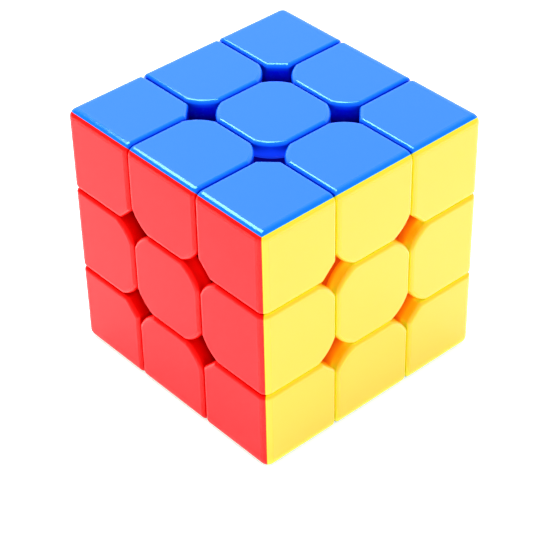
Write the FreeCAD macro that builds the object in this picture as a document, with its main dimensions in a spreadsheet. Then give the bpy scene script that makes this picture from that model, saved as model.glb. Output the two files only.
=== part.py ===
"""Stickerless twisty puzzle cube: a six-armed core, six sprung centres, twelve edges, eight corners.

Frame: the origin is the middle of the core, +Z points up, -Y to the front and +X to the right.
Each cut between two layers is a flat plane outside the ball and a nearer flat plane inside it, so
that every surface between layers is a surface of revolution about the axis that it turns about:
outside the ball are the visible blocks, and inside it are the feet that hold the pieces together.
"""

import FreeCAD
import Part
import os
import Sketcher

Vector = FreeCAD.Vector
Rotation = FreeCAD.Rotation
Placement = FreeCAD.Placement

# name, millimetres, meaning
DIMENSIONS = (
    ("cube_size", 56.0, "whole cube, from face to face"),
    ("layer_cut", 9.7, "from the middle of the cube to the cut between two layers"),
    ("seam_gap", 0.3, "running gap between neighbouring pieces"),
    ("pad_round", 0.9, "rounding round each coloured pad, along the seams"),
    ("outer_round", 1.9, "rounding of the whole cube's own edges"),
    ("wall", 1.3, "thickness of the hollow edge and corner shells"),
    ("corner_cut", 3.3, "leg of the flat cut on each inner edge of a corner piece"),
    ("corner_soften", 0.8, "rounding where that flat cut meets the side walls"),
    ("arc_cut", 4.6, "leg of the curved cut on edge pieces and centre caps"),
    ("arc_radius", 8.5, "radius of that curved cut"),
    ("ball_radius", 20.0, "ball between the outer blocks and the feet"),
    ("foot_cut", 6.0, "from the middle of the cube to the cut between two layers of feet"),
    ("foot_thickness", 2.8, "thickness of the curved feet"),
    ("corner_stalk", 23.0, "outer radius of the solid stalk inside a corner piece"),
    ("cap_height", 4.2, "height of a centre cap"),
    ("cap_plate", 1.4, "thickness of the cap's top"),
    ("cap_lower_round", 1.6, "rounding round the cap's lower edge"),
    ("cap_recess_radius", 7.7, "round recess under the cap"),
    ("plug_radius", 4.1, "outside of the plug that holds the cap in the well"),
    ("plug_wall", 1.1, "wall of that plug"),
    ("plug_depth", 3.0, "depth of the plug below the cap"),
    ("fit_gap", 0.05, "gap between two fitted pieces of one assembly"),
    ("base_corner_cut", 7.6, "leg of the flat cut on the corners of a centre base"),
    ("base_recess_radius", 7.0, "outside of the ring-shaped recess in a centre base"),
    ("base_recess_depth", 2.4, "depth of the ring-shaped recess in a centre base"),
    ("stem_radius", 5.6, "outside of the centre's hollow stem"),
    ("well_radius", 4.2, "inside of the stem, where the spring sits"),
    ("stem_start", 10.6, "from the middle of the core to the stem's end"),
    ("stem_floor", 1.5, "thickness of the stem's floor"),
    ("floor_hole_radius", 1.58, "hole in the floor for the screw"),
    ("core_radius", 6.8, "ball in the middle of the core"),
    ("arm_radius", 3.3, "radius of a core arm"),
    ("arm_end", 10.5, "from the middle of the core to an arm's end"),
    ("arm_hole_radius", 1.55, "screw hole in a core arm"),
    ("arm_hole_start", 2.8, "from the middle of the core to the bottom of a screw hole"),
    ("screw_radius", 1.5, "screw shank"),
    ("screw_start", 3.2, "from the middle of the core to the screw's tip"),
    ("screw_head_start", 17.2, "from the middle of the core to the underside of the head"),
    ("screw_head_radius", 2.8, "screw head"),
    ("screw_head_height", 1.9, "height of the screw head"),
    ("screw_tip", 1.0, "length of the cone at the screw's tip"),
    ("drive_width", 0.8, "width of the cross recess in the screw head"),
    ("drive_length", 3.2, "length of the cross recess"),
    ("drive_depth", 1.2, "depth of the cross recess"),
    ("washer_radius", 3.5, "outside of the washer"),
    ("washer_thickness", 0.5, "thickness of the washer"),
    ("spring_radius", 2.6, "mean radius of the spring"),
    ("spring_wire", 0.3, "radius of the spring's wire"),
    ("spring_pitch", 0.95, "pitch of the spring"),
)

# Expressions that several sub-parts share.
HALF = "dims.cube_size / 2"
OUTER_START = "(dims.layer_cut + dims.seam_gap / 2)"
MIDDLE_HALF = "(dims.layer_cut - dims.seam_gap / 2)"
FOOT_START = "(dims.foot_cut + dims.seam_gap / 2)"
FOOT_HALF = "(dims.foot_cut - dims.seam_gap / 2)"
BALL_INSIDE = "(dims.ball_radius - dims.seam_gap / 2)"
BALL_OUTSIDE = "(dims.ball_radius + dims.seam_gap / 2)"
FOOT_INSIDE = f"({BALL_INSIDE} - dims.foot_thickness)"
CAVITY_START = f"({OUTER_START} + dims.wall)"
CAVITY_END = f"({HALF} - dims.wall)"
# A flat cut that moves inwards with the walls keeps this much less leg per unit of wall.
CUT_LOSS = "(2 - sqrt(2))"

FACES = {
    "up": Vector(0, 0, 1),
    "down": Vector(0, 0, -1),
    "front": Vector(0, -1, 0),
    "back": Vector(0, 1, 0),
    "right": Vector(1, 0, 0),
    "left": Vector(-1, 0, 0),
}
COLOURS = {
    "up": "blue",
    "down": "green",
    "front": "red",
    "back": "orange",
    "right": "yellow",
    "left": "white",
}
TOLERANCE = 1e-6

doc = FreeCAD.newDocument("puzzle_cube")
sheet = doc.addObject("Spreadsheet::Sheet", "dims")


def fill_sheet():
    """Write each driving dimension in the sheet, with its alias and its meaning."""
    for row, (name, size, meaning) in enumerate(DIMENSIONS, start=1):
        sheet.set(f"A{row}", meaning)
        sheet.set(f"B{row}", str(size))
        sheet.setAlias(f"B{row}", name)
    doc.recompute()


def number(expression):
    """The present value of an expression over the sheet's cells."""
    return float(sheet.evalExpression(expression))


def bind(item, expressions):
    """Bind each named property to its expression."""
    for name, expression in expressions.items():
        item.setExpression(name, expression)
    return item


def box_sizes(x_span, y_span, z_span):
    """The expressions that put a box between two bounds on each axis."""
    sizes = {}
    for axis, size, (low, high) in zip("xyz", ("Length", "Width", "Height"), (x_span, y_span, z_span)):
        sizes[size] = f"({high}) - ({low})"
        sizes[f"Placement.Base.{axis}"] = low
    return sizes


def both_sides(half_width):
    """A span that is symmetric about zero."""
    return (f"-({half_width})", half_width)


def make_box(name, x_span, y_span, z_span):
    return bind(doc.addObject("Part::Box", name), box_sizes(x_span, y_span, z_span))


def make_ball(name, radius):
    return bind(doc.addObject("Part::Sphere", name), {"Radius": radius})


def make_cylinder(name, radius, start, end):
    """A cylinder on the Z axis between two heights."""
    sizes = {"Radius": radius, "Height": f"({end}) - ({start})", "Placement.Base.z": start}
    return bind(doc.addObject("Part::Cylinder", name), sizes)


def cut(name, base, tool):
    item = doc.addObject("Part::Cut", name)
    item.Base = base
    item.Tool = tool
    return item


def common(name, base, tool):
    item = doc.addObject("Part::Common", name)
    item.Base = base
    item.Tool = tool
    return item


def fuse(name, pieces):
    item = doc.addObject("Part::MultiFuse", name)
    item.Shapes = pieces
    return item


def group(label, pieces):
    """Several separate solids as one sub-part."""
    item = doc.addObject("Part::Compound", label)
    item.Links = pieces
    return item


def clone(label, source, placement=Placement()):
    """A body that follows the shape of another object, in a place of its own."""
    body = doc.addObject("PartDesign::Body", label)
    copy = body.newObject("PartDesign::FeatureBase", f"{label}_copy")
    copy.BaseFeature = source
    body.Placement = placement
    return body


def edge_names(shape, wanted):
    """The names of the edges for which wanted is true."""
    return [f"Edge{index}" for index, edge in enumerate(shape.Edges, start=1) if wanted(edge)]


def dress(body, kind, name, base, wanted, size_name, size):
    """Put a fillet or a chamfer on some edges of a body's feature."""
    doc.recompute()
    feature = body.newObject(f"PartDesign::{kind}", name)
    feature.Base = (base, edge_names(base.Shape, wanted))
    feature.setExpression(size_name, size)
    return feature


def edge_points(edge):
    """Three points along an edge: its two ends and its middle."""
    first, last = edge.ParameterRange
    return [edge.valueAt(place) for place in (first, (first + last) / 2, last)]


def stays_at(edge, axis, place):
    """True for an edge whose points all have this coordinate on this axis."""
    return all(abs(point[axis] - place) < TOLERANCE for point in edge_points(edge))


def on_outer_face(edge):
    """True for an edge that lies in one of the cube's faces on the positive side."""
    return any(stays_at(edge, axis, number(HALF)) for axis in range(3))


def on_cube_edge(edge):
    """True for an edge that lies in two of the cube's faces at once."""
    return sum(stays_at(edge, axis, number(HALF)) for axis in range(3)) == 2


def on_pad_rim(edge):
    """True for an edge between the cube's rounded outside and a wall between two pieces."""
    outer_round = number("dims.outer_round")
    flat_end = number(HALF) - outer_round
    for point in edge_points(edge):
        beyond = Vector(*(max(abs(value) - flat_end, 0) for value in point))
        if abs(beyond.Length - outer_round) > TOLERANCE:
            return False
    return not any(stays_at(edge, axis, flat_end) for axis in range(3))


def at_height(height):
    """A test for edges that lie in the horizontal plane at this height."""
    return lambda edge: all(abs(vertex.Z - height) < TOLERANCE for vertex in edge.Vertexes)


def round_block(body, base):
    """Round the cube's own edges on a block, and then the rim that each seam leaves."""
    name = f"{body.Name}_outer_rounding"
    outside = dress(body, "Fillet", name, base, on_cube_edge, "Radius", "dims.outer_round")
    name = f"{body.Name}_pad_rounding"
    return dress(body, "Fillet", name, outside, on_pad_rim, "Radius", "dims.pad_round")


def sketch_outline(body, name, height, corners):
    """A closed sketch parallel to XY. A corner is (x, y, True when an arc leads to the next corner)."""
    plane = next(item for item in body.Origin.OriginFeatures if item.Role == "XY_Plane")
    sketch = body.newObject("Sketcher::SketchObject", name)
    sketch.AttachmentSupport = (plane, [""])
    sketch.MapMode = "FlatFace"
    sketch.setExpression("AttachmentOffset.Base.z", height)
    points = [Vector(number(x), number(y), 0) for x, y, curved in corners]
    radius = number("dims.arc_radius")
    for index, (x, y, curved) in enumerate(corners):
        start = points[index]
        end = points[(index + 1) % len(points)]
        if curved:
            chord = end - start
            rise = radius - (radius**2 - chord.Length**2 / 4) ** 0.5
            outwards = Vector(chord.y, -chord.x, 0).normalize()
            middle = (start + end) / 2 + outwards * rise
            sketch.addGeometry(Part.Arc(start, middle, end))
        else:
            sketch.addGeometry(Part.LineSegment(start, end))
    close_outline(sketch, corners)
    return sketch


def close_outline(sketch, corners):
    """Join the outline's stretches and bind each corner's place and each arc's radius to the sheet."""
    origin = (-1, 1)
    count = len(corners)
    # An arc's own first end is where it starts going anticlockwise, and these outlines run that way.
    for index, (x, y, curved) in enumerate(corners):
        sketch.addConstraint(Sketcher.Constraint("Coincident", index, 2, (index + 1) % count, 1))
        for kind, expression in (("DistanceX", x), ("DistanceY", y)):
            place = Sketcher.Constraint(kind, *origin, index, 1, number(expression))
            at = sketch.addConstraint(place)
            sketch.setExpression(f"Constraints[{at}]", expression)
        if curved:
            at = sketch.addConstraint(Sketcher.Constraint("Radius", index, number("dims.arc_radius")))
            sketch.setExpression(f"Constraints[{at}]", "dims.arc_radius")


def pad_body(label, height, length, corners):
    """A body that holds one outline, raised from this height by this length."""
    body = doc.addObject("PartDesign::Body", label)
    sketch = sketch_outline(body, f"{label}_outline", height, corners)
    pad = body.newObject("PartDesign::Pad", f"{label}_pad")
    pad.Profile = sketch
    pad.setExpression("Length", length)
    return body, pad


def make_corner_block(label, start, end, leg):
    """A cube-shaped block whose three inner edges are cut flat."""
    body = doc.addObject("PartDesign::Body", label)
    block = body.newObject("PartDesign::AdditiveBox", f"{label}_box")
    bind(block, box_sizes((start, end), (start, end), (start, end)))
    low = number(start)

    def inner_edge(edge):
        return sum(abs(value - low) < TOLERANCE for value in edge.CenterOfMass) == 2

    return body, dress(body, "Chamfer", f"{label}_cut", block, inner_edge, "Size", leg)


def make_corner_third():
    """The coloured third of the up, right and back corner piece that carries the up face's pad."""
    body, block = make_corner_block("corner_block", OUTER_START, HALF, "dims.corner_cut")
    low = number(OUTER_START)

    def side_of_cut(edge):
        """True for the long edges where a flat cut meets a side wall."""
        places = [abs(value - low) < TOLERANCE for value in edge.CenterOfMass]
        return sum(places) == 1 and not on_outer_face(edge) and edge.Length > number("dims.corner_cut * 3")

    softened = dress(
        body, "Fillet", "corner_softening", block, side_of_cut, "Radius", "dims.corner_soften"
    )
    round_block(body, softened)
    cavity_leg = f"dims.corner_cut - {CUT_LOSS} * dims.wall"
    cavity, _ = make_corner_block("corner_cavity", CAVITY_START, CAVITY_END, cavity_leg)
    shell = cut("corner_shell", body, cavity)
    stalk_span = (OUTER_START, "dims.corner_stalk")
    stalk_box = make_box("corner_stalk_box", stalk_span, stalk_span, stalk_span)
    stalk_ball = cut(
        "corner_stalk_ball",
        make_ball("corner_stalk_outside", "dims.corner_stalk"),
        make_ball("corner_stalk_inside", FOOT_INSIDE),
    )
    stalk = common("corner_stalk", stalk_box, stalk_ball)
    foot_span = (FOOT_START, BALL_OUTSIDE)
    foot_box = make_box("corner_foot_box", foot_span, foot_span, foot_span)
    foot_ball = cut(
        "corner_foot_ball",
        make_ball("corner_foot_outside", BALL_INSIDE),
        make_ball("corner_foot_inside", FOOT_INSIDE),
    )
    foot = common("corner_foot", foot_box, foot_ball)
    whole = fuse("corner_whole", [shell, stalk, foot])
    return common("corner_third", whole, make_third_wedge())


def make_third_wedge():
    """The pyramid from the origin in which Z is the largest of three positive coordinates."""
    wedge = doc.addObject("Part::Wedge", "third_wedge")
    for low in ("Xmin", "Ymin", "Zmin", "X2min", "Z2min", "X2max", "Z2max"):
        setattr(wedge, low, 0)
    for size in ("Xmax", "Ymax", "Zmax", "Placement.Base.z"):
        wedge.setExpression(size, "dims.cube_size")
    # The wedge's own Y runs from its square base to its point: stand it on that point.
    wedge.Placement.Rotation = Rotation(Vector(1, 0, 0), -90)
    return wedge


def make_edge_block():
    """The outer block of the up and right edge piece: two crossed outlines with curved corners."""
    leg_x = f"{OUTER_START} + dims.arc_cut"
    leg_y = f"{MIDDLE_HALF} - dims.arc_cut"
    outline = (
        (HALF, MIDDLE_HALF, False),
        (leg_x, MIDDLE_HALF, True),
        (OUTER_START, leg_y, False),
        (OUTER_START, f"-({leg_y})", True),
        (leg_x, f"-{MIDDLE_HALF}", False),
        (HALF, f"-{MIDDLE_HALF}", False),
    )
    upright, _ = pad_body("edge_upright", OUTER_START, f"{HALF} - {OUTER_START}", outline)
    sideways = clone("edge_sideways", upright, Placement(Vector(), Rotation(Vector(1, 0, 1), 180)))
    crossed = common("edge_crossed", upright, sideways)
    block = clone("edge_block", crossed)
    doc.recompute()
    round_block(block, block.Tip)
    return block


def make_edge_half():
    """The coloured half of the up and right edge piece that carries the up face's pad."""
    block = cut("edge_over_ball", make_edge_block(), make_ball("edge_underside", BALL_OUTSIDE))
    cavity_side = f"({MIDDLE_HALF} - dims.wall)"
    cavity_span = (CAVITY_START, CAVITY_END)
    cavity_body = doc.addObject("PartDesign::Body", "edge_cavity")
    cavity_box = cavity_body.newObject("PartDesign::AdditiveBox", "edge_cavity_box")
    bind(cavity_box, box_sizes(cavity_span, both_sides(cavity_side), cavity_span))
    low = number(CAVITY_START)
    side = number(cavity_side)

    def inner_corner(edge):
        middle = edge.CenterOfMass
        inner = abs(middle.x - low) < TOLERANCE or abs(middle.z - low) < TOLERANCE
        return inner and abs(abs(middle.y) - side) < TOLERANCE

    leg = f"dims.arc_cut - {CUT_LOSS} * dims.wall"
    dress(cavity_body, "Chamfer", "edge_cavity_cut", cavity_box, inner_corner, "Size", leg)
    cavity_floor = make_ball("edge_cavity_floor", f"{BALL_OUTSIDE} + dims.wall")
    cavity = cut("edge_cavity_over_ball", cavity_body, cavity_floor)
    shell = cut("edge_shell", block, cavity)
    neck_span = (OUTER_START, BALL_OUTSIDE)
    neck_box = make_box("edge_neck_box", neck_span, both_sides(FOOT_HALF), neck_span)
    neck_ball = cut(
        "edge_neck_ball",
        make_ball("edge_neck_outside", f"{BALL_OUTSIDE} + dims.wall / 2"),
        make_ball("edge_neck_inside", FOOT_INSIDE),
    )
    neck = common("edge_neck", neck_box, neck_ball)
    foot_span = (FOOT_START, BALL_OUTSIDE)
    foot_box = make_box("edge_foot_box", foot_span, both_sides(FOOT_HALF), foot_span)
    foot_ball = cut(
        "edge_foot_ball",
        make_ball("edge_foot_outside", BALL_INSIDE),
        make_ball("edge_foot_inside", FOOT_INSIDE),
    )
    foot = common("edge_foot", foot_box, foot_ball)
    whole = fuse("edge_whole", [shell, neck, foot])
    return common("edge_half", whole, make_half_wedge())


def make_half_wedge():
    """The half of space in which Z is larger than X, as a large box on its tilted face."""
    sizes = {
        "Length": "dims.cube_size",
        "Width": "dims.cube_size",
        "Height": "dims.cube_size",
        "Placement.Base.y": "-dims.cube_size / 2",
    }
    wedge = bind(doc.addObject("Part::Box", "half_wedge"), sizes)
    wedge.Placement.Rotation = Rotation(Vector(0, 1, 0), -45)
    return wedge


def square_outline(half_width, leg, curved):
    """A square outline round the Z axis whose four corners are cut, flat or curved."""
    near = f"{half_width} - {leg}"
    signs = ((1, 1), (-1, 1), (-1, -1), (1, -1))
    corners = []
    for index, (x_sign, y_sign) in enumerate(signs):
        along_side = (f"{x_sign} * ({half_width})", f"{y_sign} * ({near})")
        along_top = (f"{x_sign} * ({near})", f"{y_sign} * ({half_width})")
        pair = (along_side, along_top) if index % 2 == 0 else (along_top, along_side)
        corners.append((*pair[0], curved))
        corners.append((*pair[1], False))
    return corners


def add_primitive(body, kind, name, sizes):
    """Add or take away a primitive in a body."""
    return bind(body.newObject(f"PartDesign::{kind}", name), sizes)


def cylinder_sizes(radius, start, end):
    return {"Radius": radius, "Height": f"({end}) - ({start})", "Placement.Base.z": start}


def make_centre_cap():
    """The clip-on lid of the up centre: a shallow bowl upside down with a plug under it."""
    underside = f"({HALF} - dims.cap_height)"
    plate_under = f"({HALF} - dims.cap_plate)"
    plug_end = f"({underside} - dims.plug_depth)"
    outline = square_outline(MIDDLE_HALF, "dims.arc_cut", True)
    body, pad = pad_body("centre_cap", underside, "dims.cap_height", outline)
    rounded = dress(body, "Fillet", "cap_pad_rounding", pad, on_outer_face, "Radius", "dims.pad_round")
    lower = at_height(number(underside))
    dress(body, "Fillet", "cap_lower_rounding", rounded, lower, "Radius", "dims.cap_lower_round")
    recess = cylinder_sizes("dims.cap_recess_radius", underside, plate_under)
    add_primitive(body, "SubtractiveCylinder", "cap_recess", recess)
    plug = cylinder_sizes("dims.plug_radius", plug_end, plate_under)
    add_primitive(body, "AdditiveCylinder", "cap_plug", plug)
    bore = cylinder_sizes("dims.plug_radius - dims.plug_wall", plug_end, plate_under)
    add_primitive(body, "SubtractiveCylinder", "cap_plug_bore", bore)
    return body


def make_centre_base():
    """The body of the up centre: a block over the ball and a hollow stem down to the core's arm."""
    top = f"({HALF} - dims.cap_height - dims.fit_gap)"
    outline = square_outline(MIDDLE_HALF, "dims.base_corner_cut", False)
    body, _ = pad_body("centre_base", "dims.stem_start", f"{top} - dims.stem_start", outline)
    add_primitive(body, "SubtractiveSphere", "base_underside", {"Radius": BALL_OUTSIDE})
    recess = cylinder_sizes("dims.base_recess_radius", f"{top} - dims.base_recess_depth", top)
    add_primitive(body, "SubtractiveCylinder", "base_recess", recess)
    stem = cylinder_sizes("dims.stem_radius", "dims.stem_start", top)
    add_primitive(body, "AdditiveCylinder", "base_stem", stem)
    well = cylinder_sizes("dims.well_radius", "dims.stem_start + dims.stem_floor", top)
    add_primitive(body, "SubtractiveCylinder", "base_well", well)
    hole = cylinder_sizes("dims.floor_hole_radius", "dims.stem_start", "dims.stem_start + dims.stem_floor")
    add_primitive(body, "SubtractiveCylinder", "base_floor_hole", hole)
    return body


def make_screw():
    """The up screw: a pan head with a cross recess, and a plain shank with a short cone at its tip."""
    head_top = "(dims.screw_head_start + dims.screw_head_height)"
    shank_start = "(dims.screw_start + dims.screw_tip)"
    head = make_cylinder("screw_head", "dims.screw_head_radius", "dims.screw_head_start", head_top)
    shank = make_cylinder("screw_shank", "dims.screw_radius", shank_start, "dims.screw_head_start")
    tip = doc.addObject("Part::Cone", "screw_tip")
    tip_sizes = {
        "Radius1": "dims.screw_radius / 2",
        "Radius2": "dims.screw_radius",
        "Height": "dims.screw_tip",
        "Placement.Base.z": "dims.screw_start",
    }
    bind(tip, tip_sizes)
    solid = fuse("screw_solid", [head, shank, tip])
    long_way = both_sides("dims.drive_length / 2")
    short_way = both_sides("dims.drive_width / 2")
    depth = (f"{head_top} - dims.drive_depth", head_top)
    slots = fuse(
        "screw_drive",
        [
            make_box("screw_slot_x", long_way, short_way, depth),
            make_box("screw_slot_y", short_way, long_way, depth),
        ],
    )
    return cut("screw", solid, slots)


def make_washer():
    """The washer under the up screw's head."""
    start = "(dims.screw_head_start - dims.fit_gap - dims.washer_thickness)"
    end = "(dims.screw_head_start - dims.fit_gap)"
    disc = make_cylinder("washer_disc", "dims.washer_radius", start, end)
    hole = make_cylinder("washer_hole", "dims.floor_hole_radius", start, end)
    return cut("washer", disc, hole)


def make_spring():
    """The up spring, between the floor of the stem and the washer."""
    start = "(dims.stem_start + dims.stem_floor + dims.fit_gap + dims.spring_wire)"
    end = "(dims.screw_head_start - dims.washer_thickness - 2 * dims.fit_gap - dims.spring_wire)"
    helix = doc.addObject("Part::Helix", "spring_path")
    helix_sizes = {
        "Radius": "dims.spring_radius",
        "Pitch": "dims.spring_pitch",
        "Height": f"{end} - {start}",
        "Placement.Base.z": start,
    }
    bind(helix, helix_sizes)
    helix.SegmentLength = 1
    wire = doc.addObject("Part::Circle", "spring_section")
    wire_sizes = {
        "Radius": "dims.spring_wire",
        "Placement.Base.x": "dims.spring_radius",
        "Placement.Base.z": start,
    }
    bind(wire, wire_sizes)
    wire.Placement.Rotation = Rotation(Vector(1, 0, 0), 90)
    doc.recompute()
    spring = doc.addObject("Part::Sweep", "spring")
    spring.Sections = [wire]
    spring.Spine = (helix, edge_names(helix.Shape, lambda edge: True))
    spring.Solid = True
    spring.Frenet = True
    return spring


def make_core():
    """The six-armed spider: a ball with an arm to each face and a blind screw hole in each arm."""
    arms = [make_ball("core_ball", "dims.core_radius")]
    holes = []
    for name, direction in FACES.items():
        rotation = Rotation(Vector(0, 0, 1), direction)
        arm = bind(
            doc.addObject("Part::Cylinder", f"arm_{name}"),
            {"Radius": "dims.arm_radius", "Height": "dims.arm_end"},
        )
        arm.Placement.Rotation = rotation
        arms.append(arm)
        hole = doc.addObject("Part::Cylinder", f"arm_hole_{name}")
        hole.Placement.Rotation = rotation
        hole_sizes = {"Radius": "dims.arm_hole_radius", "Height": "dims.arm_end - dims.arm_hole_start"}
        for axis in "xyz":
            share = getattr(direction, axis)
            hole_sizes[f"Placement.Base.{axis}"] = f"{share:g} * dims.arm_hole_start"
        holes.append(bind(hole, hole_sizes))
    return cut("core", fuse("core_arms", arms), fuse("core_holes", holes))


def facing(up_face, right_face):
    """The placement that turns the up face to one face and the right face to another."""
    z_axis = FACES[up_face]
    x_axis = FACES[right_face]
    return Placement(Vector(), Rotation(x_axis, z_axis.cross(x_axis), z_axis, "ZXY"))


def place_edges(half):
    """Two coloured shells for each of the twelve edges."""
    names = list(FACES)
    shells = []
    for index, first in enumerate(names):
        for second in names[index + 1 :]:
            if FACES[first].dot(FACES[second]) != 0:
                continue
            for face, beside in ((first, second), (second, first)):
                label = f"edge_{first}_{second}_{COLOURS[face]}_shell"
                shells.append(clone(label, half, facing(face, beside)))
    return shells


def place_corners(third):
    """Three coloured shells for each of the eight corners."""
    shells = []
    for level in ("up", "down"):
        for depth in ("front", "back"):
            for side in ("right", "left"):
                faces = (level, depth, side)
                for index, face in enumerate(faces):
                    beside = faces[(index + 1) % 3]
                    last = faces[(index + 2) % 3]
                    # The master lies between +X and +Y, so its X side is the one that Y follows.
                    if FACES[beside].cross(FACES[last]).dot(FACES[face]) < 0:
                        beside = last
                    label = f"corner_{level}_{depth}_{side}_{COLOURS[face]}_shell"
                    shells.append(clone(label, third, facing(face, beside)))
    return shells


def place_centres(cap, base):
    """A cap and a base for each of the six faces, as two separate solids of one colour."""
    centres = []
    for name, direction in FACES.items():
        centre = group(f"centre_{name}_{COLOURS[name]}", [cap, base])
        centre.Placement.Rotation = Rotation(Vector(0, 0, 1), direction)
        centres.append(centre)
    return centres


def place_six(label, source):
    """One piece repeated along the six arms, as one sub-part of six solids."""
    pieces = []
    for name, direction in FACES.items():
        place = Placement(Vector(), Rotation(Vector(0, 0, 1), direction))
        pieces.append(clone(f"{label}_{name}", source, place))
    return group(label, pieces)


def check(subparts):
    """Stop on any failed object and on any sub-part with an empty or a bad shape."""
    for item in doc.Objects:
        if "Invalid" in item.State or "Error" in item.State:
            raise RuntimeError(f"{item.Label} failed: {item.State}")
    for item in subparts:
        if item.Shape.isNull() or not item.Shape.isValid() or not item.Shape.Solids:
            raise RuntimeError(f"{item.Label} has no valid shape")


fill_sheet()
sub_parts = [make_core()]
sub_parts += place_centres(make_centre_cap(), make_centre_base())
sub_parts += place_edges(make_edge_half())
sub_parts += place_corners(make_corner_third())
sub_parts.append(place_six("centre_screws", make_screw()))
sub_parts.append(place_six("screw_washers", make_washer()))
sub_parts.append(place_six("centre_springs", make_spring()))
doc.recompute()
check(sub_parts)
os.makedirs("parts", exist_ok=True)
for item in sub_parts:
    item.Shape.exportStep(f"parts/{item.Label}.step")
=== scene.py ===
"""Looks of the stickerless twisty puzzle cube: moulded plastic shells, steel fasteners, soft studio."""

import math

import bpy
from mathutils import Matrix, Vector


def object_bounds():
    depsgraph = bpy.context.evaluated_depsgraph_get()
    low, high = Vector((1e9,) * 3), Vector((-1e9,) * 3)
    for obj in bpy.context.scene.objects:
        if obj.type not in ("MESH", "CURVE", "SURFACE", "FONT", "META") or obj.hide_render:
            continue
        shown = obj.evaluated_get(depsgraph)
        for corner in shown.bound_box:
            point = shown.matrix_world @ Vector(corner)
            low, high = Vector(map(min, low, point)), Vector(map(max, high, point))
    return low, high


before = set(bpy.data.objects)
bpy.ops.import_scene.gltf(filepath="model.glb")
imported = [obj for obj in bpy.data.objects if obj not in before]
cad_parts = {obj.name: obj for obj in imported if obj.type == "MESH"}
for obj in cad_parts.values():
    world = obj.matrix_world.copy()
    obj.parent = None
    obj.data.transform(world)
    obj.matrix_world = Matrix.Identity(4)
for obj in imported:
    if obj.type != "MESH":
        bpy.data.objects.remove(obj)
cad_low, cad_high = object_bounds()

MM = 0.001
HALF_SIZE = cad_high[2]

# The camera's place and the point that it looks at, in metres from the middle of the cube. Its lens
# and sensor are in millimetres.
CAMERA_PLACE = Vector((0.2206, -0.1945, 0.2214))
CAMERA_AIM = Vector((0.0021, -0.0044, -0.0058))
CAMERA_ROLL = math.radians(-1.36)
CAMERA_LENS = 125.6
CAMERA_SENSOR = 36.0
CAMERA_CLIP_START = 0.01

FLOOR_SIZE = 6.0
# The floor stays this far below the cube, so that no two faces share a plane.
FLOOR_GAP = 0.02 * MM
FLOOR_WHITE = (0.9, 0.9, 0.9, 1.0)
FLOOR_ROUGHNESS = 0.9
# The floor is a light table: what it shines by itself, on the cube and towards the camera.
FLOOR_SHINE = (0.38, 0.5)

# What a reflection sees of the room: dark, but pale towards the back left, between these cosines.
PALE_DIRECTION = (-0.7, 0.7, 0.0)
PALE_COSINES = (0.2, 0.8)
ROOM_RADIANCE = (0.08, 1.2)
# Soft boxes: place, the point that each faces, width, height, radiance and whether reflections see it.
SOFT_BOXES = {
    "top_box": ((-0.245, 0.01, 0.60), (-0.245, 0.01, 0.0), 0.57, 0.32, 10.8, True),
    "front_fill": ((-0.15, -0.80, 0.25), (0.0, 0.0, 0.0), 0.6, 0.6, 1.7, False),
    "right_fill": ((0.80, 0.15, 0.25), (0.0, 0.0, 0.0), 0.6, 0.6, 1.8, False),
}

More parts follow.
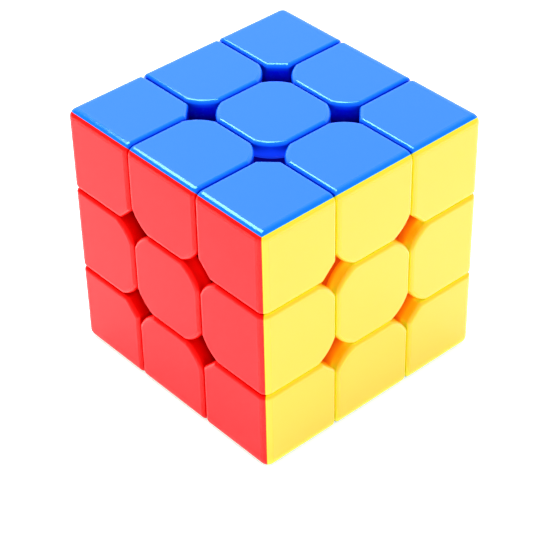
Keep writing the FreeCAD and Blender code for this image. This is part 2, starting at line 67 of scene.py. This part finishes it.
# Each plastic's colours, linear. pad: the flat of a pad. body: its rounding. seam: painted shade
# at the bottom of a seam. parting: the fine line where it meets another colour. shell_wall_shade and
# centre_wall_shade: the walls of the openings, from the face inwards, with painted shade that deepens
# inwards. painted_glow: painted light that a shell's and a centre's walls give off, standing for light
# from inside the plastic. gloss: the reflectivity of a pad and of its rounding. gleam: the tint of a
# highlight.
PLASTICS = {
    "blue": {
        "pad": (0.002, 0.118, 0.95),
        "body": (0.003, 0.112, 0.92),
        "seam": (0.0, 0.016, 0.45),
        "parting": (0.0, 0.22, 0.45),
        "shell_wall_shade": ((0.003, 0.08, 0.92), (0.0, 0.003, 0.85), (0.003, 0.0, 0.20)),
        "centre_wall_shade": ((0.003, 0.05, 0.92), (0.008, 0.055, 0.92), (0.003, 0.0, 0.20)),
        "painted_glow": (0.05, 0.6),
        "gloss": (0.37, 0.80),
        "gleam": (0.40, 1.0, 1.0),
    },
    "green": {
        "pad": (0.01, 0.40, 0.03),
        "body": (0.005, 0.36, 0.02),
        "seam": (0.0, 0.14, 0.01),
        "parting": (0.0, 0.20, 0.02),
        "shell_wall_shade": ((0.004, 0.34, 0.018), (0.0, 0.26, 0.0), (0.0, 0.06, 0.002)),
        "centre_wall_shade": ((0.004, 0.34, 0.018), (0.0, 0.28, 0.0), (0.0, 0.06, 0.002)),
        "painted_glow": (0.05, 0.1),
        "gloss": (0.35, 0.60),
        "gleam": (0.9, 1.0, 0.9),
    },
    "red": {
        "pad": (0.95, 0.0095, 0.0145),
        "body": (0.95, 0.006, 0.005),
        "seam": (0.65, 0.0, 0.0),
        "parting": (0.42, 0.0, 0.0),
        "shell_wall_shade": ((0.95, 0.004, 0.003), (0.92, 0.0, 0.0), (0.20, 0.0, 0.0)),
        "centre_wall_shade": ((0.95, 0.004, 0.003), (0.95, 0.0, 0.0), (0.20, 0.0, 0.0)),
        "painted_glow": (0.1, 0.3),
        "gloss": (0.10, 0.18),
        "gleam": (1.0, 1.0, 1.0),
    },
    "orange": {
        "pad": (0.95, 0.19, 0.008),
        "body": (0.95, 0.17, 0.005),
        "seam": (0.55, 0.08, 0.0),
        "parting": (0.50, 0.08, 0.0),
        "shell_wall_shade": ((0.95, 0.16, 0.004), (0.95, 0.09, 0.0), (0.45, 0.01, 0.0)),
        "centre_wall_shade": ((0.95, 0.16, 0.004), (0.95, 0.09, 0.0), (0.45, 0.01, 0.0)),
        "painted_glow": (0.1, 0.15),
        "gloss": (0.30, 0.40),
        "gleam": (1.0, 1.0, 1.0),
    },
    "yellow": {
        "pad": (0.95, 0.466, 0.038),
        "body": (0.94, 0.49, 0.031),
        "seam": (0.80, 0.76, 0.02),
        "parting": (0.40, 0.62, 0.0),
        "shell_wall_shade": ((0.94, 0.56, 0.010), (0.95, 0.42, 0.0), (0.72, 0.12, 0.004)),
        "centre_wall_shade": ((0.94, 0.56, 0.010), (0.95, 0.32, 0.0), (0.72, 0.12, 0.004)),
        "painted_glow": (0.25, 0.3),
        "gloss": (0.34, 0.40),
        "gleam": (1.0, 1.0, 1.0),
    },
    "white": {
        "pad": (0.35, 0.35, 0.36),
        "body": (0.34, 0.34, 0.35),
        "seam": (0.22, 0.22, 0.235),
        "parting": (0.28, 0.28, 0.29),
        "shell_wall_shade": ((0.40, 0.40, 0.42), (0.34, 0.34, 0.36), (0.12, 0.12, 0.13)),
        "centre_wall_shade": ((0.40, 0.40, 0.42), (0.36, 0.36, 0.38), (0.12, 0.12, 0.13)),
        "painted_glow": (0.0, 0.1),
        "gloss": (0.35, 0.50),
        "gleam": (1.0, 1.0, 1.0),
    },
}
# A pad is flat to this depth below its face, and then rounds off.
PAD_FLAT_DEPTH = 0.03 * MM
# The rounding ends between these depths below a face, and the wall of an opening starts, painted with
# shade that darkens inwards.
WALL_SHADE_DEPTHS = (0.6 * MM, 0.9 * MM)
# Depths at which a wall has each of its painted shades, for a shell and for a centre.
SHELL_SHADE_STOPS = (0.9 * MM, 1.6 * MM, 4.2 * MM)
CENTRE_SHADE_STOPS = (1.2 * MM, 3.6 * MM, 4.8 * MM)
RAMP_LENGTH = 6 * MM
# The painted glow, which stands for light from inside the plastic, sets in between these depths.
PAINTED_GLOW_DEPTHS = (0.8 * MM, 2.5 * MM)
# Painted shade darkens a seam where little within this reach is open, and not deeper than an opening's
# upper walls.
OPENNESS_REACH = 5 * MM
OPENNESS_SAMPLES = 8
SEAM_SHADE_OPENNESS = (0.86, 0.38)
SEAM_SHADE_DEPTHS = (3.0 * MM, 2.0 * MM)
# Two colours meet in a fine line, this wide on each side.
PARTING_WIDTH = 0.25 * MM
# Faint clouds run through a pad: their size, and the share of the body's colour in them.
CLOUD_SIZE = 9 * MM
CLOUD_SHARE = (0.0, 0.3)
# Scuffs wear the roundings: their size, the noise between which they start and are full, how much
# they take on the pad's colour, and how much rougher they are.
SCUFF_SIZE = 0.9 * MM
SCUFF_NOISE = (0.50, 0.70)
SCUFF_TINT = 0.12
SCUFF_ROUGHNESS = 0.10
# Roughness of a rounding and of a pad.
POLISH = (0.09, 0.30)
# A pad's fine grain, and the waves that every surface has.
GRAIN_SIZE = 0.25 * MM
WAVE_SIZE = 1.6 * MM
PLASTIC_RELIEF = {"Strength": 0.15, "Distance": 0.01 * MM}

# Steel: turning marks at this spacing, and a mottled sheen, darker by this factor where it is dull.
TURNING_PITCH = 0.12 * MM
MOTTLE_SIZE = 0.6 * MM
MOTTLE_SHADE = 0.8
MOTTLE_ROUGHNESS = (-0.06, 0.12)
STEEL_RELIEF = {"Strength": 0.3, "Distance": 0.004 * MM}
# The colour and the mean roughness of the screws and washers, and of the springs.
FASTENER_STEEL = ((0.62, 0.60, 0.57), 0.28)
SPRING_STEEL = ((0.50, 0.51, 0.53), 0.22)

# The core's spark-eroded grain, its two tones and its roughness.
EROSION_SIZE = 0.3 * MM
CORE_CLOUD_SIZE = 4 * MM
CORE_TONES = ((0.52, 0.53, 0.55), (0.60, 0.60, 0.60))
CORE_ROUGHNESS = (0.45, 0.65)
CORE_RELIEF = {"Strength": 0.5, "Distance": 0.02 * MM}

WHITE = (1.0, 1.0, 1.0, 1.0)

scene = bpy.context.scene


def add_camera():
    data = bpy.data.cameras.new("camera")
    data.lens = CAMERA_LENS
    data.sensor_width = CAMERA_SENSOR
    data.clip_start = CAMERA_CLIP_START
    camera = bpy.data.objects.new("camera", data)
    scene.collection.objects.link(camera)
    turn = (CAMERA_AIM - CAMERA_PLACE).to_track_quat("-Z", "Y").to_matrix().to_4x4()
    camera.matrix_world = Matrix.Translation(CAMERA_PLACE) @ turn @ Matrix.Rotation(CAMERA_ROLL, 4, "Z")
    scene.camera = camera


def set_inputs(tree, item, inputs):
    """Give each input its value, or a link when the value is another node's socket."""
    for name, value in inputs.items():
        if isinstance(value, bpy.types.NodeSocket):
            tree.links.new(value, item.inputs[name])
        else:
            item.inputs[name].default_value = value


def add_node(tree, kind, inputs=None, **settings):
    """Add a node with these settings and then these inputs."""
    item = tree.nodes.new(kind)
    for name, value in settings.items():
        setattr(item, name, value)
    set_inputs(tree, item, inputs or {})
    return item


def calculate(tree, operation, *values):
    return add_node(tree, "ShaderNodeMath", dict(enumerate(values)), operation=operation).outputs[0]


def smooth_step(tree, value, low, high):
    """0 below low, 1 above high and a smooth rise between them. low may be the larger one."""
    limits = {"Value": value, "From Min": low, "From Max": high}
    return add_node(tree, "ShaderNodeMapRange", limits, interpolation_type="SMOOTHSTEP").outputs[0]


def rescale(tree, value, low, high):
    """A value that runs from 0 to 1, mapped to run from low to high."""
    limits = {"Value": value, "To Min": low, "To Max": high}
    return add_node(tree, "ShaderNodeMapRange", limits).outputs[0]


def mix_colours(tree, factor, first, second):
    """The first colour at factor 0 and the second at factor 1."""
    item = add_node(tree, "ShaderNodeMix", {0: factor}, data_type="RGBA")
    for index, colour in ((6, first), (7, second)):
        if isinstance(colour, bpy.types.NodeSocket):
            tree.links.new(colour, item.inputs[index])
        else:
            item.inputs[index].default_value = (*colour, 1)
    return item.outputs[2]


def noise(tree, place, size, detail=3.0, roughness=0.5):
    """Fractal noise from 0 to 1 whose largest grains are about this size."""
    inputs = {"Vector": place, "Scale": 1 / size, "Detail": detail, "Roughness": roughness}
    return add_node(tree, "ShaderNodeTexNoise", inputs).outputs["Fac"]


def new_material(name):
    """A material with nothing but its Principled shader, and the piece's own coordinates."""
    material = bpy.data.materials.new(name)
    material.use_nodes = True
    tree = material.node_tree
    place = add_node(tree, "ShaderNodeTexCoord").outputs["Object"]
    return material, tree, tree.nodes["Principled BSDF"], place


def sorted_sizes(tree, place):
    """The largest, the middle and the smallest of a point's three distances from the middle planes."""
    size = add_node(tree, "ShaderNodeVectorMath", {0: place}, operation="ABSOLUTE").outputs[0]
    first, second, third = add_node(tree, "ShaderNodeSeparateXYZ", {0: size}).outputs
    largest = calculate(tree, "MAXIMUM", calculate(tree, "MAXIMUM", first, second), third)
    smallest = calculate(tree, "MINIMUM", calculate(tree, "MINIMUM", first, second), third)
    total = calculate(tree, "ADD", calculate(tree, "ADD", first, second), third)
    middle = calculate(tree, "SUBTRACT", calculate(tree, "SUBTRACT", total, largest), smallest)
    return largest, middle, smallest


def colour_ramp(tree, value, stops, colours):
    """Colours that follow each other along a value."""
    ramp = add_node(tree, "ShaderNodeValToRGB", {0: value})
    for _ in range(len(stops) - 2):
        ramp.color_ramp.elements.new(0.5)
    for element, stop, colour in zip(ramp.color_ramp.elements, stops, colours):
        element.position = stop
        element.color = (*colour, 1)
    return ramp.outputs["Color"]


def plastic_colours(tree, look, place, is_centre):
    """A piece's colour with painted shade in its seams and openings, the colour and strength of its
    painted glow, and 1 on the flat of a pad, else 0.
    """
    largest, middle, _ = sorted_sizes(tree, place)
    depth = calculate(tree, "SUBTRACT", HALF_SIZE, largest)
    flat = smooth_step(tree, depth, PAD_FLAT_DEPTH, 0.0)
    # Painted shade: past the rounding, an opening's walls darken inwards through the wall shades.
    shaded_wall = smooth_step(tree, depth, *WALL_SHADE_DEPTHS)
    clouds = rescale(tree, noise(tree, place, CLOUD_SIZE, detail=2.0), *CLOUD_SHARE)
    pad = mix_colours(tree, clouds, look["pad"], look["body"])
    wall_shades = look["centre_wall_shade" if is_centre else "shell_wall_shade"]
    depths = CENTRE_SHADE_STOPS if is_centre else SHELL_SHADE_STOPS
    sunk = calculate(tree, "DIVIDE", depth, RAMP_LENGTH)
    opening_shade = colour_ramp(tree, sunk, [stop / RAMP_LENGTH for stop in depths], wall_shades)
    colour = mix_colours(tree, shaded_wall, mix_colours(tree, flat, look["body"], pad), opening_shade)
    # Painted shade: where little around is open and the seam is shallow, the seam's shade colour
    # darkens it.
    reach = {"Distance": OPENNESS_REACH}
    openness = add_node(tree, "ShaderNodeAmbientOcclusion", reach, samples=OPENNESS_SAMPLES)
    narrow_shade = smooth_step(tree, openness.outputs["AO"], *SEAM_SHADE_OPENNESS)
    shallow = smooth_step(tree, depth, *SEAM_SHADE_DEPTHS)
    colour = mix_colours(tree, calculate(tree, "MULTIPLY", narrow_shade, shallow), colour, look["seam"])
    parting = smooth_step(tree, calculate(tree, "SUBTRACT", largest, middle), PARTING_WIDTH, 0.0)
    colour = mix_colours(tree, parting, colour, look["parting"])
    # Painted glow: deeper than this, the walls of openings give off light in their shaded colours.
    painted_glow_mask = smooth_step(tree, depth, *PAINTED_GLOW_DEPTHS)
    return colour, opening_shade, calculate(tree, "MULTIPLY", painted_glow_mask, look["painted_glow"][is_centre]), flat


def plastic(name, is_centre):
    """Moulded plastic: satin pads, polished roundings, and openings with painted shade that darkens
    inwards and a painted glow.
    """
    look = PLASTICS[name]
    material, tree, shader, place = new_material(f"{name}_plastic")
    colour, painted_glow, painted_glow_strength, flat = plastic_colours(tree, look, place, is_centre)
    scuffs = smooth_step(tree, noise(tree, place, SCUFF_SIZE, detail=5.0, roughness=0.7), *SCUFF_NOISE)
    worn = calculate(tree, "MULTIPLY", scuffs, calculate(tree, "SUBTRACT", 1.0, flat))
    colour = mix_colours(tree, calculate(tree, "MULTIPLY", worn, SCUFF_TINT), colour, look["pad"])
    dulling = rescale(tree, worn, 0.0, SCUFF_ROUGHNESS)
    pad_gloss, rounding_gloss = look["gloss"]
    grain = noise(tree, place, GRAIN_SIZE, detail=2.0)
    waves = noise(tree, place, WAVE_SIZE, detail=1.0)
    relief = calculate(tree, "ADD", calculate(tree, "MULTIPLY", grain, flat), waves)
    bump = add_node(tree, "ShaderNodeBump", {"Height": relief} | PLASTIC_RELIEF)
    inputs = {
        "Base Color": colour,
        "Roughness": calculate(tree, "ADD", rescale(tree, flat, *POLISH), dulling),
        "Specular IOR Level": rescale(tree, flat, rounding_gloss, pad_gloss),
        "Specular Tint": mix_colours(tree, flat, look["gleam"], WHITE[:3]),
        # The emission is the painted glow of the openings' walls.
        "Emission Color": painted_glow,
        "Emission Strength": painted_glow_strength,
        "Normal": bump.outputs[0],
    }
    set_inputs(tree, shader, inputs)
    return material


def machined_steel(name, colour, roughness):
    """Bright steel with turning marks round the arm that each piece sits on, and a mottled sheen."""
    material, tree, shader, place = new_material(name)
    _, middle, smallest = sorted_sizes(tree, place)
    across = add_node(tree, "ShaderNodeCombineXYZ", {0: middle, 1: smallest}).outputs[0]
    radius = add_node(tree, "ShaderNodeVectorMath", {0: across}, operation="LENGTH").outputs["Value"]
    rings = calculate(tree, "SINE", calculate(tree, "MULTIPLY", radius, 2 * math.pi / TURNING_PITCH))
    mottle = noise(tree, place, MOTTLE_SIZE)
    tone = mix_colours(tree, mottle, colour, tuple(MOTTLE_SHADE * part for part in colour))
    bump = add_node(tree, "ShaderNodeBump", {"Height": rings} | STEEL_RELIEF)
    inputs = {
        "Base Color": tone,
        "Metallic": 1.0,
        "Roughness": rescale(tree, mottle, *(roughness + change for change in MOTTLE_ROUGHNESS)),
        "Normal": bump.outputs[0],
    }
    set_inputs(tree, shader, inputs)
    return material


def core_plastic():
    """Tough matte plastic with a spark-eroded texture."""
    material, tree, shader, place = new_material("core_plastic")
    grain = noise(tree, place, EROSION_SIZE, detail=4.0, roughness=0.7)
    clouds = noise(tree, place, CORE_CLOUD_SIZE)
    bump = add_node(tree, "ShaderNodeBump", {"Height": grain} | CORE_RELIEF)
    inputs = {
        "Base Color": mix_colours(tree, clouds, *CORE_TONES),
        "Roughness": rescale(tree, grain, *CORE_ROUGHNESS),
        "Normal": bump.outputs[0],
    }
    set_inputs(tree, shader, inputs)
    return material


def dress_nodes():
    """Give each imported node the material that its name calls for."""
    shells = {name: plastic(name, is_centre=False) for name in PLASTICS}
    centres = {name: plastic(name, is_centre=True) for name in PLASTICS}
    fasteners = machined_steel("fastener_steel", *FASTENER_STEEL)
    springs = machined_steel("spring_steel", *SPRING_STEEL)
    others = {"core": core_plastic(), "screws": fasteners, "washers": fasteners, "springs": springs}
    for name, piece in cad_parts.items():
        materials = others | (centres if name.startswith("centre") else shells)
        material = next(materials[word] for word in name.split("_") if word in materials)
        for slot in piece.material_slots:
            slot.material = material


def add_floor():
    """A white light table under the cube, which is clear from below and so doesn't hide the cube."""
    bpy.ops.mesh.primitive_plane_add(size=FLOOR_SIZE, location=(0, 0, cad_low[2] - FLOOR_GAP))
    floor = bpy.context.object
    floor.name = "floor"
    material, tree, shader, _ = new_material("floor_paper")
    seen = add_node(tree, "ShaderNodeLightPath").outputs["Is Camera Ray"]
    inputs = {
        "Base Color": FLOOR_WHITE,
        "Roughness": FLOOR_ROUGHNESS,
        "Specular IOR Level": 0.0,
        "Emission Color": WHITE,
        "Emission Strength": rescale(tree, seen, *FLOOR_SHINE),
    }
    set_inputs(tree, shader, inputs)
    from_below = add_node(tree, "ShaderNodeNewGeometry").outputs["Backfacing"]
    clear = add_node(tree, "ShaderNodeBsdfTransparent").outputs[0]
    surface = add_node(tree, "ShaderNodeMixShader", {0: from_below, 1: shader.outputs[0], 2: clear})
    tree.links.new(surface.outputs[0], tree.nodes["Material Output"].inputs["Surface"])
    floor.data.materials.append(material)


def add_soft_box(name, place, aim, width, height, radiance, seen_in_reflections):
    """A lamp that faces a point, with this much light leaving each part of it."""
    data = bpy.data.lights.new(name, "AREA")
    data.shape = "RECTANGLE"
    data.size = width
    data.size_y = height
    data.energy = radiance * math.pi * width * height
    lamp = bpy.data.objects.new(name, data)
    scene.collection.objects.link(lamp)
    lamp.location = place
    lamp.rotation_euler = (Vector(aim) - Vector(place)).to_track_quat("-Z", "Y").to_euler()
    lamp.visible_glossy = seen_in_reflections


def add_world():
    """White to the camera, even light on the surfaces, and a mostly dark room in reflections."""
    world = bpy.data.worlds.new("studio")
    scene.world = world
    world.use_nodes = True
    world.cycles.sampling_method = "NONE"
    tree = world.node_tree
    tree.nodes.clear()
    direction = add_node(tree, "ShaderNodeTexCoord").outputs["Generated"]
    sides = {0: direction, 1: PALE_DIRECTION}
    cosine = add_node(tree, "ShaderNodeVectorMath", sides, operation="DOT_PRODUCT").outputs["Value"]
    reflected = rescale(tree, smooth_step(tree, cosine, *PALE_COSINES), *ROOM_RADIANCE)
    ray = add_node(tree, "ShaderNodeLightPath").outputs
    strength = add_node(tree, "ShaderNodeMix", {0: ray["Is Glossy Ray"], 2: 1.0, 3: reflected})
    total = add_node(tree, "ShaderNodeMix", {0: ray["Is Camera Ray"], 2: strength.outputs[0], 3: 1.0})
    light = {"Color": WHITE, "Strength": total.outputs[0]}
    background = add_node(tree, "ShaderNodeBackground", light)
    add_node(tree, "ShaderNodeOutputWorld", {"Surface": background.outputs[0]})


scene.view_settings.view_transform = "Standard"
add_camera()
dress_nodes()
add_floor()
add_world()
for name, box in SOFT_BOXES.items():
    add_soft_box(name, *box)
